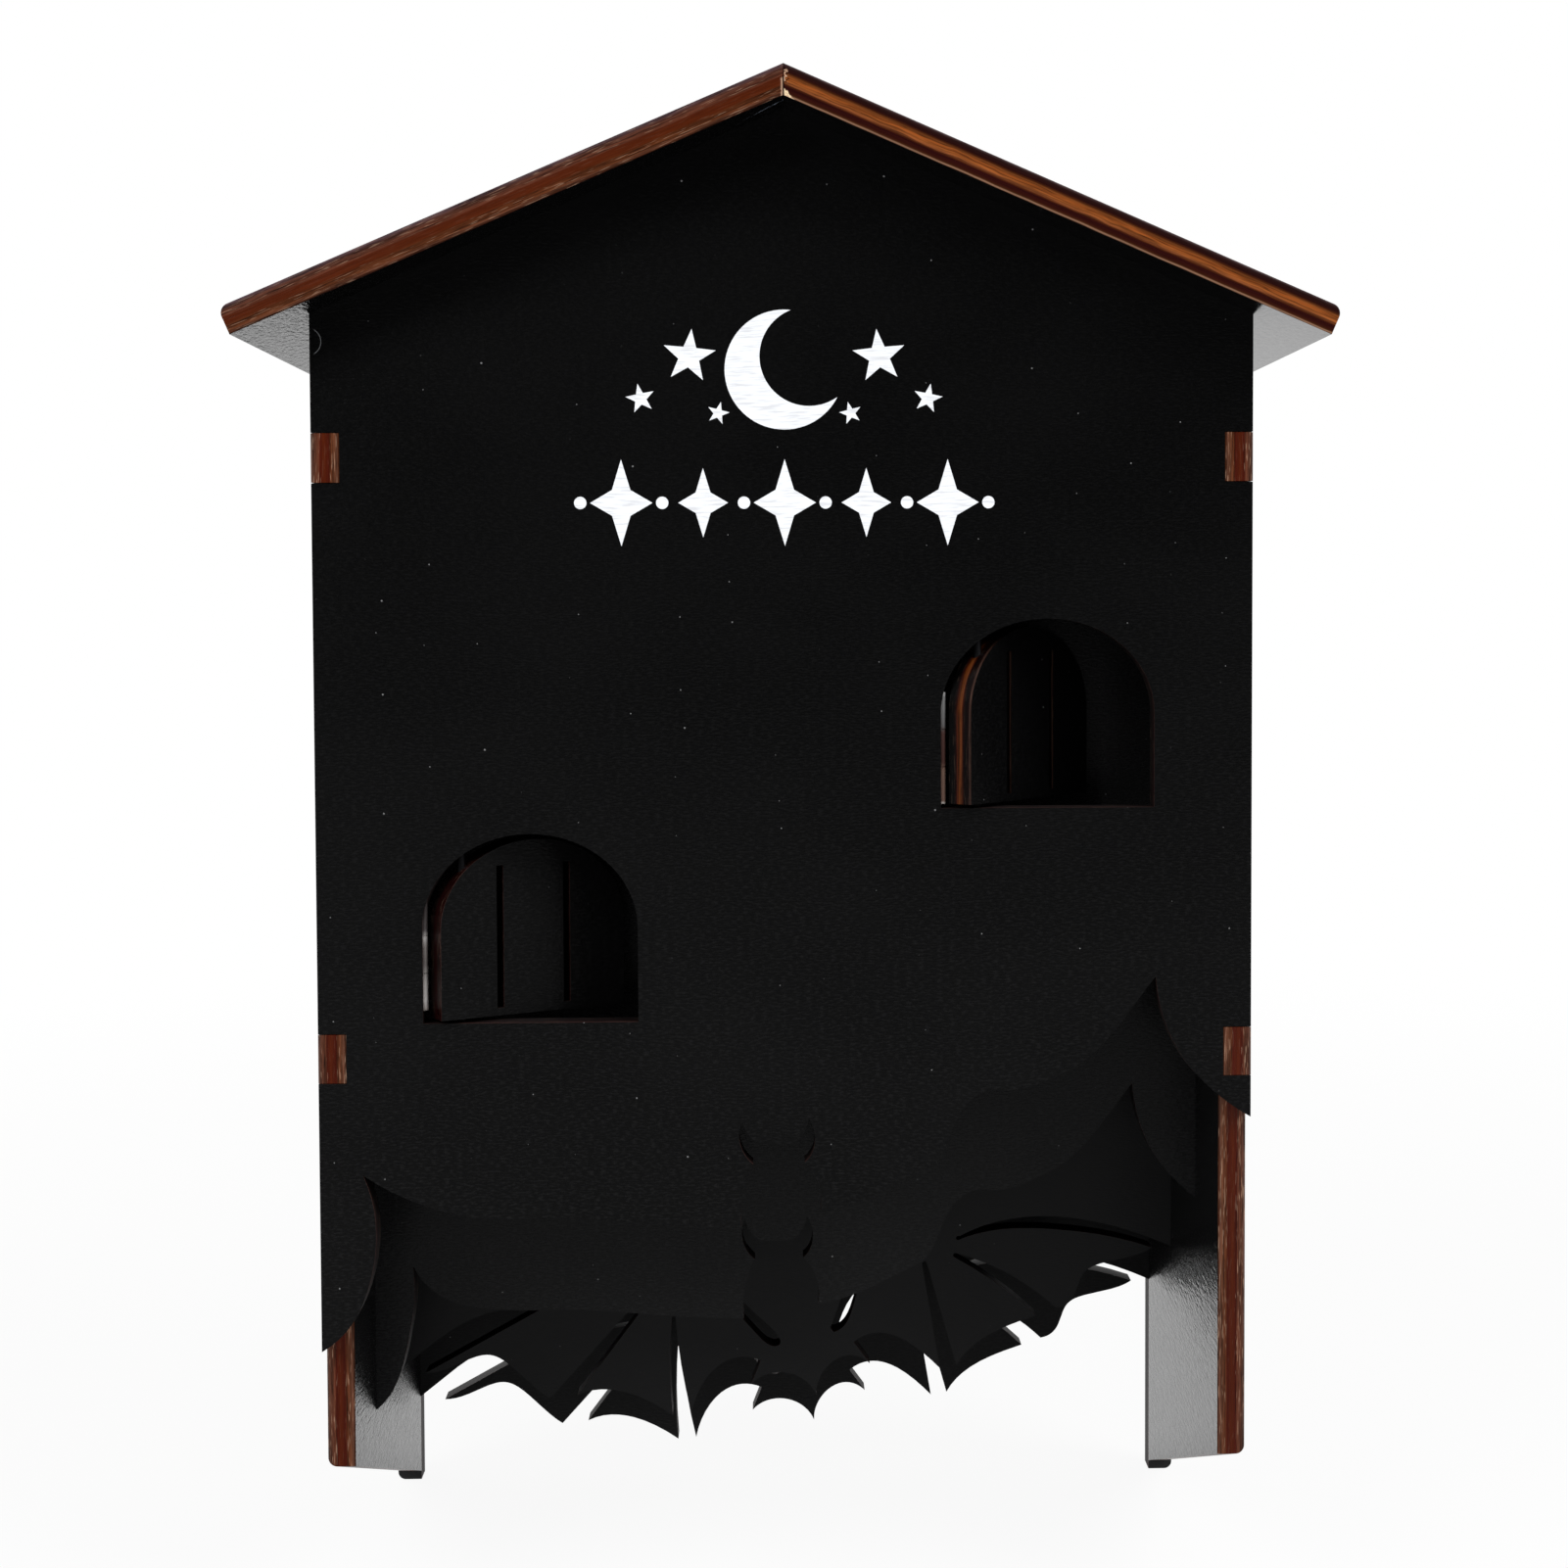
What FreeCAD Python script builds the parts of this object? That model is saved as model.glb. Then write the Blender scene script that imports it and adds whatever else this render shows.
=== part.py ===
import FreeCAD, Part
import math
import os
import Sketcher
from FreeCAD import Rotation, Vector

# Bat box cut from one thickness of plywood. A gabled front, two baffles and a back stand
# one behind the other between two side panels, under two mitred roof boards. The lower
# edge of each panel is cut as part of a flying bat: the front pair shows its ears and the
# tops of its wings, the rear pair its scalloped wings, feet and tail. Two plank doors
# swing on steel pins in the front panel.
#
# Frame: +Z up, the front faces -Y, the wall is the plane y = 0, and the origin is the
# centre of the hanging hole. Each panel is drawn with z = 0 at the peak of its gable, and
# every drop in the sheet is measured down from there.

doc = FreeCAD.newDocument("bat_box")
sheet = doc.addObject("Spreadsheet::Sheet", "Sheet")

SIZES = (
    # carcass
    ("ply", 6.35, "thickness of the plywood"),
    ("body_width", 213.4, "over the side panels"),
    ("body_depth", 116.3, "over the front and back panels"),
    ("hang_drop", 24.0, "hanging hole below the peak of the gable"),
    ("hang_hole", 5.0, "diameter of the hanging hole"),
    # roof
    ("roof_pitch", 23.3, "slope of the roof, degrees"),
    ("roof_board", 134.7, "roof board down the slope, along its top"),
    ("front_overhang", 15.0, "roof beyond the front panel"),
    ("eave_round", 2.2, "radius of the upper edge at the eaves"),
    # tabs and slots
    ("tab_height", 11.1, "height of a tab"),
    ("tab_slack", 0.15, "room above and below a tab in its slot"),
    ("upper_tab_drop", 72.7, "top of the upper tabs"),
    ("lower_tab_drop", 209.1, "top of the lower tabs"),
    # legs
    ("leg_below_tail", 12.7, "rear foot of a side panel, below the tail in the back panel"),
    ("foot_rise", 38.4, "front foot of a side panel above its rear foot"),
    ("back_leg_extra", 2.3, "leg of the back panel beyond the side panel"),
    ("foot_round", 2.0, "radius of the outer lower corner of a leg"),
    # lower edges
    ("ear_drop", 229.8, "tips of the ears cut in the front panel"),
    ("front_step", 32.0, "same cut in the front baffle, lower by this much"),
    ("tail_drop", 317.6, "tip of the tail on the rear baffle"),
    ("rear_step", 19.0, "same edge on the back panel, lower by this much"),
    # doorways
    ("doorway_width", 48.9, "between the jambs"),
    ("doorway_straight", 21.6, "height of the upright jambs"),
    ("doorway_rise", 21.6, "rise of the arch above the jambs"),
    ("left_doorway", 48.3, "middle of the left doorway from the left edge"),
    ("right_doorway", 46.9, "middle of the right doorway from the right edge"),
    ("left_sill_drop", 206.7, "sill of the left doorway"),
    ("right_sill_drop", 158.2, "sill of the right doorway"),
    # doors
    ("hinge_gap", 2.1, "closed door to the jamb on the hinge side"),
    ("free_gap", 0.6, "closed door to the other jamb"),
    ("sill_gap", 1.0, "gap under a door"),
    ("arch_gap", 2.0, "gap over the middle of a door"),
    ("pivot_inset", 6.4, "pivot from the hinge-side edge of a door"),
    ("left_door_angle", 30.5, "how far the left door stands open, degrees"),
    ("right_door_angle", 48.3, "how far the right door stands open, degrees"),
    ("plank_slot", 1.7, "width of the slots that mark the planks"),
    ("first_slot", 14.6, "middle of the first slot from the hinge-side edge"),
    ("slot_spacing", 16.8, "between the middles of the two slots"),
    ("slot_foot", 1.8, "lower end of a slot above the foot of the door"),
    ("slot_length", 32.8, "length of a slot"),
    # pivot pins
    ("pin_diameter", 2.0, "steel pivot pin"),
    ("pin_length", 14.0, "length of a pivot pin"),
    ("pin_seat", 6.0, "depth of a pin in the door"),
    ("pin_play", 0.05, "radial clearance of a pin in the front panel"),
    ("pin_end_play", 0.3, "room beyond the end of a pin in the front panel"),
)

for row, (alias, size, meaning) in enumerate(SIZES, start=1):
    sheet.set(f"A{row}", alias)
    sheet.set(f"B{row}", str(size))
    sheet.set(f"C{row}", meaning)
    sheet.setAlias(f"B{row}", alias)
doc.recompute()

# Places that several pieces share, as expressions on the sheet
HALF = "Sheet.body_width / 2"
INNER = "(Sheet.body_width / 2 - Sheet.ply)"
PITCH = "((Sheet.body_depth - Sheet.ply) / 3)"
SHOULDER = "-tan(Sheet.roof_pitch) * Sheet.body_width / 2"
REAR_FOOT = "(Sheet.tail_drop + Sheet.rear_step + Sheet.leg_below_tail)"
FRONT_FOOT = f"({REAR_FOOT} - Sheet.foot_rise)"
TAB_DROPS = ("Sheet.upper_tab_drop", "Sheet.lower_tab_drop")
# The curve of an arch passes through this many points after its first
ARCH_STEPS = 12
# Two coordinates closer than this are the same
CLOSE = 0.01


def value(expression):
    """Number that an expression on the sheet has now, in millimetres or degrees."""
    result = sheet.evalExpression(expression)
    return float(getattr(result, "Value", result))


# Drawing in sketches

def new_sketch(body, name, role, offset="0"):
    """Sketch on an origin plane of its body, moved along the plane's normal.

    XZ_Plane: the sketch's x is X, its y is Z, and the normal is -Y.
    YZ_Plane: x is Y, y is Z, and the normal is +X. XY_Plane: the normal is +Z.
    """
    sketch = body.newObject("Sketcher::SketchObject", name)
    origin_plane = next(part for part in body.Origin.OriginFeatures if part.Role == role)
    sketch.AttachmentSupport = (origin_plane, [""])
    sketch.MapMode = "FlatFace"
    sketch.setExpression(".AttachmentOffset.Base.z", offset)
    doc.recompute()
    return sketch


def hold_point(sketch, geometry, vertex, x, y):
    """Hold one point of a sketch at two expressions, measured from its origin."""
    for kind, expression, axis in (("DistanceX", x, -2), ("DistanceY", y, -1)):
        if expression == "0":
            sketch.addConstraint(Sketcher.Constraint("PointOnObject", geometry, vertex, axis))
            continue
        rule = Sketcher.Constraint(kind, -1, 1, geometry, vertex, value(expression))
        index = sketch.addConstraint(rule)
        sketch.setExpression(f"Constraints[{index}]", expression)


def add_polygon(sketch, corners):
    """Closed outline of straight lines through corners given as pairs of expressions."""
    points = [Vector(value(x), value(y), 0) for x, y in corners]
    first = sketch.GeometryCount
    count = len(points)
    for number, start in enumerate(points):
        sketch.addGeometry(Part.LineSegment(start, points[(number + 1) % count]))
    for number, (x, y) in enumerate(corners):
        following = first + (number + 1) % count
        sketch.addConstraint(Sketcher.Constraint("Coincident", first + number, 2, following, 1))
        hold_point(sketch, first + number, 1, x, y)


def add_rectangle(sketch, left, right, low, high):
    """Upright rectangle between four expressions."""
    add_polygon(sketch, ((left, low), (right, low), (right, high), (left, high)))


def add_circle(sketch, x, y, diameter):
    """Circle whose centre and diameter are expressions."""
    centre = Vector(value(x), value(y), 0)
    circle = sketch.addGeometry(Part.Circle(centre, Vector(0, 0, 1), value(diameter) / 2))
    hold_point(sketch, circle, 3, x, y)
    index = sketch.addConstraint(Sketcher.Constraint("Diameter", circle, value(diameter)))
    sketch.setExpression(f"Constraints[{index}]", diameter)


def draw(sketch, stretches):
    """Free outline from ("start", point) through stretches that each go on from there.

    A stretch is ("line", end), ("arc", way, end) or ("curve", points), and a last line
    closes the outline.
    """
    start = Vector(*stretches[0][1], 0)
    here = start
    for kind, *points in stretches[1:]:
        ends = [Vector(*point, 0) for point in points]
        if kind == "line":
            sketch.addGeometry(Part.LineSegment(here, ends[0]))
        elif kind == "arc":
            sketch.addGeometry(Part.Arc(here, ends[0], ends[1]))
        else:
            curve = Part.BSplineCurve()
            curve.interpolate([here] + ends)
            sketch.addGeometry(curve)
        here = ends[-1]
    sketch.addGeometry(Part.LineSegment(here, start))


def draw_arch(sketch, left, right, foot, spring, crown):
    """Upright jambs under half an ellipse, between numbers."""
    middle = (left + right) / 2
    reach = (right - left) / 2
    corners = [Vector(left, spring, 0), Vector(left, foot, 0), Vector(right, foot, 0)]
    corners.append(Vector(right, spring, 0))
    for start, end in zip(corners, corners[1:]):
        sketch.addGeometry(Part.LineSegment(start, end))
    round_points = []
    for step in range(ARCH_STEPS + 1):
        angle = math.pi * step / ARCH_STEPS
        x = middle + reach * math.cos(angle)
        round_points.append(Vector(x, spring + (crown - spring) * math.sin(angle), 0))
    round_points[0] = corners[-1]
    round_points[-1] = corners[0]
    arch = Part.BSplineCurve()
    arch.interpolate(round_points)
    sketch.addGeometry(arch)


# Bodies and their features

def new_body(name, **offsets):
    """Empty body named for its node, with its place bound to the sheet."""
    body = doc.addObject("PartDesign::Body", name)
    body.Label = name
    for axis, expression in offsets.items():
        body.setExpression(f".Placement.Base.{axis}", expression)
    return body


def add_pad(body, sketch, length, name="blank", midplane=False):
    """Give a sketch its thickness along its normal, or half to each side."""
    feature = body.newObject("PartDesign::Pad", name)
    feature.Profile = sketch
    feature.setExpression("Length", length)
    feature.Midplane = midplane
    body.Tip = feature
    doc.recompute()
    return feature


def add_pocket(body, sketch, length, name, midplane=False):
    """Cut a sketch away along its normal, or half to each side."""
    before = body.Shape.Volume
    feature = body.newObject("PartDesign::Pocket", name)
    feature.Profile = sketch
    feature.setExpression("Length", length)
    feature.Reversed = not midplane
    feature.Midplane = midplane
    body.Tip = feature
    doc.recompute()
    if math.isclose(body.Shape.Volume, before):
        raise ValueError(f"{body.Label}: {name} cuts nothing")
    return feature


def round_edges(body, radius, name, wanted):
    """Fillet the edges whose two ends both pass a test."""
    base = body.Tip
    edges = [
        f"Edge{number}"
        for number, edge in enumerate(base.Shape.Edges, start=1)
        if len(edge.Vertexes) == 2 and all(wanted(vertex.Point) for vertex in edge.Vertexes)
    ]
    feature = body.newObject("PartDesign::Fillet", name)
    feature.Base = (base, edges)
    feature.setExpression("Radius", radius)
    body.Tip = feature
    doc.recompute()
    return feature


def near(number, expression):
    """Whether a coordinate is the value of an expression."""
    return abs(number - value(expression)) < CLOSE


# Lower edges, shaped as a bat

# How far a cut runs past the blank
CUT_MARGIN = 8.0

# Strip beside the left wing, x from the panel's left edge and z from the tips of the ears,
# from its foot up to the tip of the wing, and then the start of the wing
FRONT_PANEL_STRIP = ((0.0, -52.3), (7.8, -44.6), (11.6, -34.6), (12.7, -25.5), (9.8, -11.6))
FRONT_BAFFLE_STRIP = ((0.0, -46.0), (3.7, -41.7), (7.9, -28.7), (9.4, -19.0), (9.1, -10.4))

# The rest of the front pair, from the tip of the left wing to the foot of the strip
# beside the right wing, z from the tips of the ears
UPPER_BAT = (
    ("curve", (-84.0, -18.4), (-72.5, -21.5), (-52.0, -21.9), (-30.0, -23.6), (-10.7, -24.6)),
    ("curve", (-10.4, -17.0), (-7.9, -10.0)),
    ("curve", (-10.3, -7.0), (-11.1, -4.0), (-10.3, 0.0)),
    ("curve", (-8.9, -3.3), (-6.4, -5.4)),
    ("line", (1.2, -5.4)),
    ("curve", (3.6, -3.0), (4.9, 0.7)),
    ("curve", (6.3, -4.3), (5.8, -7.0), (3.9, -9.6)),
    ("curve", (6.6, -13.4), (7.6, -21.1)),
    ("curve", (16.4, -18.9), (24.7, -15.2), (33.0, -11.0)),
    ("curve", (36.8, -5.2), (39.4, 1.0), (43.0, 5.1), (51.0, 6.3)),
    ("curve", (61.0, 9.2), (70.4, 15.0), (78.4, 24.2), (84.7, 32.6)),
    ("curve", (86.0, 24.8), (90.4, 14.7), (96.6, 7.3), (107.0, -0.3)),
)

# The rear pair, from the left side panel to the right one, z from the tip of the tail
LOWER_BAT = (
    ("start", (-100.35, 8.0)),
    # slot over the first wing bone, then three scallops with a slot between each two
    ("curve", (-95.9, 11.5), (-84.0, 20.0), (-76.0, 23.0), (-63.3, 23.7)),
    ("line", (-93.7, 7.1)),
    ("curve", (-86.0, 9.0), (-77.0, 11.6), (-70.0, 7.2), (-61.6, 0.0)),
    ("line", (-40.5, 23.2)),
    ("arc", (-38.9, 23.3), (-38.6, 21.7)),
    ("line", (-54.5, 0.7)),
    ("curve", (-47.5, 2.2), (-40.5, 0.9), (-29.8, -4.8)),
    ("curve", (-30.4, 8.0), (-29.9, 20.6)),
    ("arc", (-29.3, 21.2), (-28.9, 20.5)),
    ("curve", (-27.6, 9.0), (-24.9, -4.4)),
    ("curve", (-21.8, 3.6), (-17.2, 8.5), (-6.8, 9.3)),
    # left foot, tail and right foot
    ("line", (-9.3, 3.0)),
    ("curve", (-4.6, 5.8), (0.6, 5.8), (7.6, 0.0)),
    ("curve", (9.4, 6.1), (14.0, 9.9), (21.6, 8.1)),
    ("line", (17.4, 13.8)),
    # the same on the right, where the wing rises
    ("curve", (25.5, 16.1), (33.0, 12.7), (39.9, 6.6)),
    ("line", (35.3, 34.0)),
    ("arc", (35.9, 34.8), (36.6, 34.2)),
    ("line", (44.2, 7.3)),
    ("curve", (48.6, 12.5), (56.0, 16.9), (65.0, 20.2)),
    ("curve", (55.5, 28.2), (43.8, 35.8)),
    ("arc", (43.5, 36.6), (44.4, 36.8)),
    ("curve", (57.5, 31.5), (70.3, 22.1)),
    ("curve", (75.0, 25.4), (77.6, 31.3), (84.0, 34.2), (95.4, 37.8)),
    ("curve", (84.3, 40.9), (70.0, 42.9), (55.3, 43.0), (44.6, 40.3)),
    ("arc", (44.2, 40.9), (45.0, 41.3)),
    ("curve", (58.0, 45.7), (80.0, 44.9), (100.35, 38.1)),
)

# Closed slots in the rear pair: the two sides of the body, and a short one along the left arm
LEFT_BODY_SLOT = (
    ("start", (-1.6, 14.4)),
    ("curve", (-3.9, 17.7), (-7.6, 21.1), (-11.2, 24.7), (-15.5, 29.0)),
    ("curve", (-12.2, 21.2), (-8.4, 16.9), (-5.3, 13.8), (-2.7, 13.0), (-1.8, 13.5)),
)
RIGHT_BODY_SLOT = (
    ("start", (11.3, 17.6)),
    ("curve", (12.1, 19.8), (13.5, 23.5), (15.1, 28.5), (17.2, 32.9), (19.6, 36.0)),
    ("curve", (19.4, 31.5), (18.2, 26.5), (16.7, 21.4), (14.8, 18.0), (12.2, 16.5)),
)
ARM_SLOT = (
    ("start", (-49.2, 26.9)),
    ("line", (-41.1, 28.5)),
    ("arc", (-40.5, 28.1), (-40.9, 27.5)),
    ("line", (-49.4, 25.9)),
)
# The scallops of the rear pair hang no lower than this below the tip of the tail
SCALLOP_REACH = 5.0
# The whole bat grows with the body: its last point stands on the inner face of a side panel
GROWTH = value(INNER) / LOWER_BAT[-1][-1][0]


def grown(stretches):
    """Stretches of an outline at the size of the body."""
    return [(kind, *[(x * GROWTH, z * GROWTH) for x, z in points]) for kind, *points in stretches]


def cut_upper_bat(body, half, strip, tips):
    """Cut the lower edge of a front panel or baffle, half as wide as half.

    tips is the drop of the tips of the ears, as an expression.
    """
    foot, *rising = [(x * GROWTH - half, z * GROWTH) for x, z in strip]
    low = foot[1] - CUT_MARGIN
    outline = [("start", foot), ("curve", *rising), *grown(UPPER_BAT)]
    past_right = half + CUT_MARGIN
    right_foot = outline[-1][-1]
    outline += [("line", (past_right, right_foot[1])), ("line", (past_right, low))]
    outline.append(("line", (foot[0], low)))
    sketch = new_sketch(body, "bat_outline", "XZ_Plane")
    sketch.setExpression(".AttachmentOffset.Base.y", f"-({tips})")
    draw(sketch, outline)
    add_pocket(body, sketch, "Sheet.ply", "bat_cut")


def cut_lower_bat(body, tail, low):
    """Cut the lower edge of the rear baffle or the back panel between the side panels.

    tail is the drop of the tip of the tail, as an expression, and low is a height that
    lies under the whole panel.
    """
    inner = value(INNER)
    outline = grown(LOWER_BAT) + [("line", (inner, low)), ("line", (-inner, low))]
    sketch = new_sketch(body, "bat_outline", "XZ_Plane")
    sketch.setExpression(".AttachmentOffset.Base.y", f"-({tail})")
    draw(sketch, outline)
    for slot in (LEFT_BODY_SLOT, RIGHT_BODY_SLOT, ARM_SLOT):
        draw(sketch, grown(slot))
    add_pocket(body, sketch, "Sheet.ply", "bat_cut")


# Panels

def gabled_panel(name, layer, half, foot):
    """Blank of a panel under the roof; layer counts from the wall, foot is its lowest drop."""
    body = new_body(name, y=f"-{layer} * {PITCH}", z="Sheet.hang_drop")
    shoulder = f"-tan(Sheet.roof_pitch) * {half}"
    sketch = new_sketch(body, "gable", "XZ_Plane")
    corners = (
        (f"-{half}", f"-({foot})"),
        (half, f"-({foot})"),
        (half, shoulder),
        ("0", "0"),
        (f"-{half}", shoulder),
    )
    add_polygon(sketch, corners)
    add_pad(body, sketch, "Sheet.ply")
    return body


def tab_rows():
    """Lower and upper ends of the two rows of tabs."""
    return [(f"-{drop} - Sheet.tab_height", f"-{drop}") for drop in TAB_DROPS]


def slot_rows():
    """Lower and upper ends of the two rows of slots that take the tabs."""
    slack = "Sheet.tab_slack"
    return [(f"{low} - {slack}", f"{high} + {slack}") for low, high in tab_rows()]


def cut_edge_notches(body):
    """Notches in both edges of the front or back panel for the tabs of the sides."""
    sketch = new_sketch(body, "notches", "XZ_Plane")
    past_edge = f"({HALF} + Sheet.ply)"
    for low, high in slot_rows():
        add_rectangle(sketch, f"-{past_edge}", f"-{INNER}", low, high)
        add_rectangle(sketch, INNER, past_edge, low, high)
    add_pocket(body, sketch, "Sheet.ply", "notch_cuts")


def add_edge_tabs(body):
    """Tabs of a baffle, out to the outer faces of the side panels."""
    sketch = new_sketch(body, "tabs", "XZ_Plane")
    rooted = f"({INNER} - Sheet.ply)"
    for low, high in tab_rows():
        add_rectangle(sketch, f"-({HALF})", f"-{rooted}", low, high)
        add_rectangle(sketch, rooted, HALF, low, high)
    add_pad(body, sketch, "Sheet.ply", "tab_pads")


# One entry for each doorway: side, middle, drop of its sill, angle of its door
DOORWAYS = (
    (
        "left", f"Sheet.left_doorway - {HALF}",
        "Sheet.left_sill_drop", "Sheet.left_door_angle",
    ),
    (
        "right", f"{HALF} - Sheet.right_doorway",
        "Sheet.right_sill_drop", "Sheet.right_door_angle",
    ),
)
# Door from its own foot: half width, jamb height, rise and the height over the pivot
DOOR_HALF = "((Sheet.doorway_width - Sheet.hinge_gap - Sheet.free_gap) / 2)"
DOOR_STRAIGHT = "(Sheet.doorway_straight - Sheet.sill_gap)"
DOOR_RISE = "(Sheet.doorway_rise - Sheet.arch_gap)"
DOOR_AT_PIVOT = (
    f"({DOOR_STRAIGHT} + {DOOR_RISE} * sqrt(1 - (1 - Sheet.pivot_inset / {DOOR_HALF})^2))"
)
HINGE_EDGE = "(Sheet.hinge_gap - Sheet.doorway_width / 2)"


def pivot_x(middle):
    """Where the pivot of a door stands across the box."""
    return f"{middle} + {HINGE_EDGE} + Sheet.pivot_inset"


def cut_doorway(body, side, middle, sill_drop):
    """Arched doorway, with a hole for the pivot pins above and below it."""
    centre = value(middle)
    half = value("Sheet.doorway_width") / 2
    sill = -value(sill_drop)
    spring = sill + value("Sheet.doorway_straight")
    crown = spring + value("Sheet.doorway_rise")
    sketch = new_sketch(body, f"{side}_doorway_outline", "XZ_Plane")
    draw_arch(sketch, centre - half, centre + half, sill, spring, crown)
    add_pocket(body, sketch, "Sheet.ply", f"{side}_doorway")

    depth_in_panel = "(Sheet.pin_length - Sheet.pin_seat + Sheet.pin_end_play)"
    foot = f"(Sheet.sill_gap - {sill_drop})"
    drilling = new_sketch(body, f"{side}_pin_circle", "XY_Plane", f"{foot} - {depth_in_panel}")
    add_circle(drilling, pivot_x(middle), "-Sheet.ply / 2", "Sheet.pin_diameter + 2 * Sheet.pin_play")
    add_pocket(body, drilling, f"{DOOR_AT_PIVOT} + 2 * {depth_in_panel}", f"{side}_pin_holes")


def make_front_panel():
    foot = f"Sheet.ear_drop - ({FRONT_PANEL_STRIP[0][1] * GROWTH})"
    body = gabled_panel("front_panel", 3, HALF, foot)
    cut_upper_bat(body, value(HALF), FRONT_PANEL_STRIP, "Sheet.ear_drop")
    cut_edge_notches(body)
    for side, middle, sill_drop, _ in DOORWAYS:
        cut_doorway(body, side, middle, sill_drop)
    return body


def make_front_baffle():
    tips = "Sheet.ear_drop + Sheet.front_step"
    foot = f"{tips} - ({FRONT_BAFFLE_STRIP[0][1] * GROWTH})"
    body = gabled_panel("front_baffle", 2, INNER, foot)
    cut_upper_bat(body, value(INNER), FRONT_BAFFLE_STRIP, tips)
    add_edge_tabs(body)
    return body


def make_rear_baffle():
    reach = SCALLOP_REACH * GROWTH
    body = gabled_panel("rear_baffle", 1, INNER, f"Sheet.tail_drop + {reach}")
    cut_lower_bat(body, "Sheet.tail_drop", -(reach + CUT_MARGIN))
    add_edge_tabs(body)
    return body


def make_back_panel():
    foot = f"{REAR_FOOT} + Sheet.back_leg_extra"
    tail = "Sheet.tail_drop + Sheet.rear_step"
    body = gabled_panel("back_panel", 0, HALF, foot)
    cut_lower_bat(body, tail, value(f"{tail} - ({foot})") - CUT_MARGIN)
    cut_edge_notches(body)
    hole = new_sketch(body, "hole_circle", "XZ_Plane")
    add_circle(hole, "0", "-Sheet.hang_drop", "Sheet.hang_hole")
    add_pocket(body, hole, "Sheet.ply", "hanging_hole")

    def outer_foot(point):
        return near(point.z, f"-({foot})") and near(abs(point.x), HALF)

    round_edges(body, "Sheet.foot_round", "foot_corners", outer_foot)
    return body


def make_side_panel(name, left_face, outer_face):
    """Side panel between the front and the back, from its left face to the right."""
    body = new_body(name, x=left_face, z="Sheet.hang_drop")
    rear = "-Sheet.ply"
    front = f"(Sheet.ply - Sheet.body_depth)"
    outline = new_sketch(body, "outline", "YZ_Plane")
    corners = (
        (front, f"-{FRONT_FOOT}"),
        (rear, f"-{REAR_FOOT}"),
        (rear, SHOULDER),
        (front, SHOULDER),
    )
    add_polygon(outline, corners)
    add_pad(body, outline, "Sheet.ply")

    tabs = new_sketch(body, "tabs", "YZ_Plane")
    for low, high in tab_rows():
        add_rectangle(tabs, f"-Sheet.body_depth", f"{front} + Sheet.ply", low, high)
        add_rectangle(tabs, f"{rear} - Sheet.ply", "0", low, high)
    add_pad(body, tabs, "Sheet.ply", "tab_pads")

    slots = new_sketch(body, "baffle_slots", "YZ_Plane")
    for layer in (1, 2):
        back_face = f"-{layer} * {PITCH}"
        for low, high in slot_rows():
            add_rectangle(slots, f"{back_face} - Sheet.ply", back_face, low, high)
    add_pocket(body, slots, "Sheet.ply", "slot_cuts")

    def outer_foot(point):
        return near(point.x, outer_face) and point.z < value(f"-{FRONT_FOOT}") + CLOSE

    round_edges(body, "Sheet.foot_round", "foot_corner", outer_foot)
    return body


def make_roof_board(name, side):
    """Board from the vertical mitre at the ridge down to the eave; side is -1 or 1."""
    body = new_body(name, z="Sheet.hang_drop")
    rise = "Sheet.ply / cos(Sheet.roof_pitch)"
    eave_x = "Sheet.roof_board * cos(Sheet.roof_pitch)"
    eave_z = f"({rise} - Sheet.roof_board * sin(Sheet.roof_pitch))"
    profile = new_sketch(body, "profile", "XZ_Plane")
    corners = (
        ("0", "0"),
        ("0", rise),
        (f"{side} * {eave_x}", eave_z),
        (
            f"{side} * ({eave_x} - Sheet.ply * sin(Sheet.roof_pitch))",
            f"{eave_z} - Sheet.ply * cos(Sheet.roof_pitch)",
        ),
    )
    add_polygon(profile, corners)
    add_pad(body, profile, f"Sheet.body_depth + Sheet.front_overhang")

    def eave_top(point):
        return near(abs(point.x), eave_x)

    round_edges(body, "Sheet.eave_round", "eave", eave_top)
    return body


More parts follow.
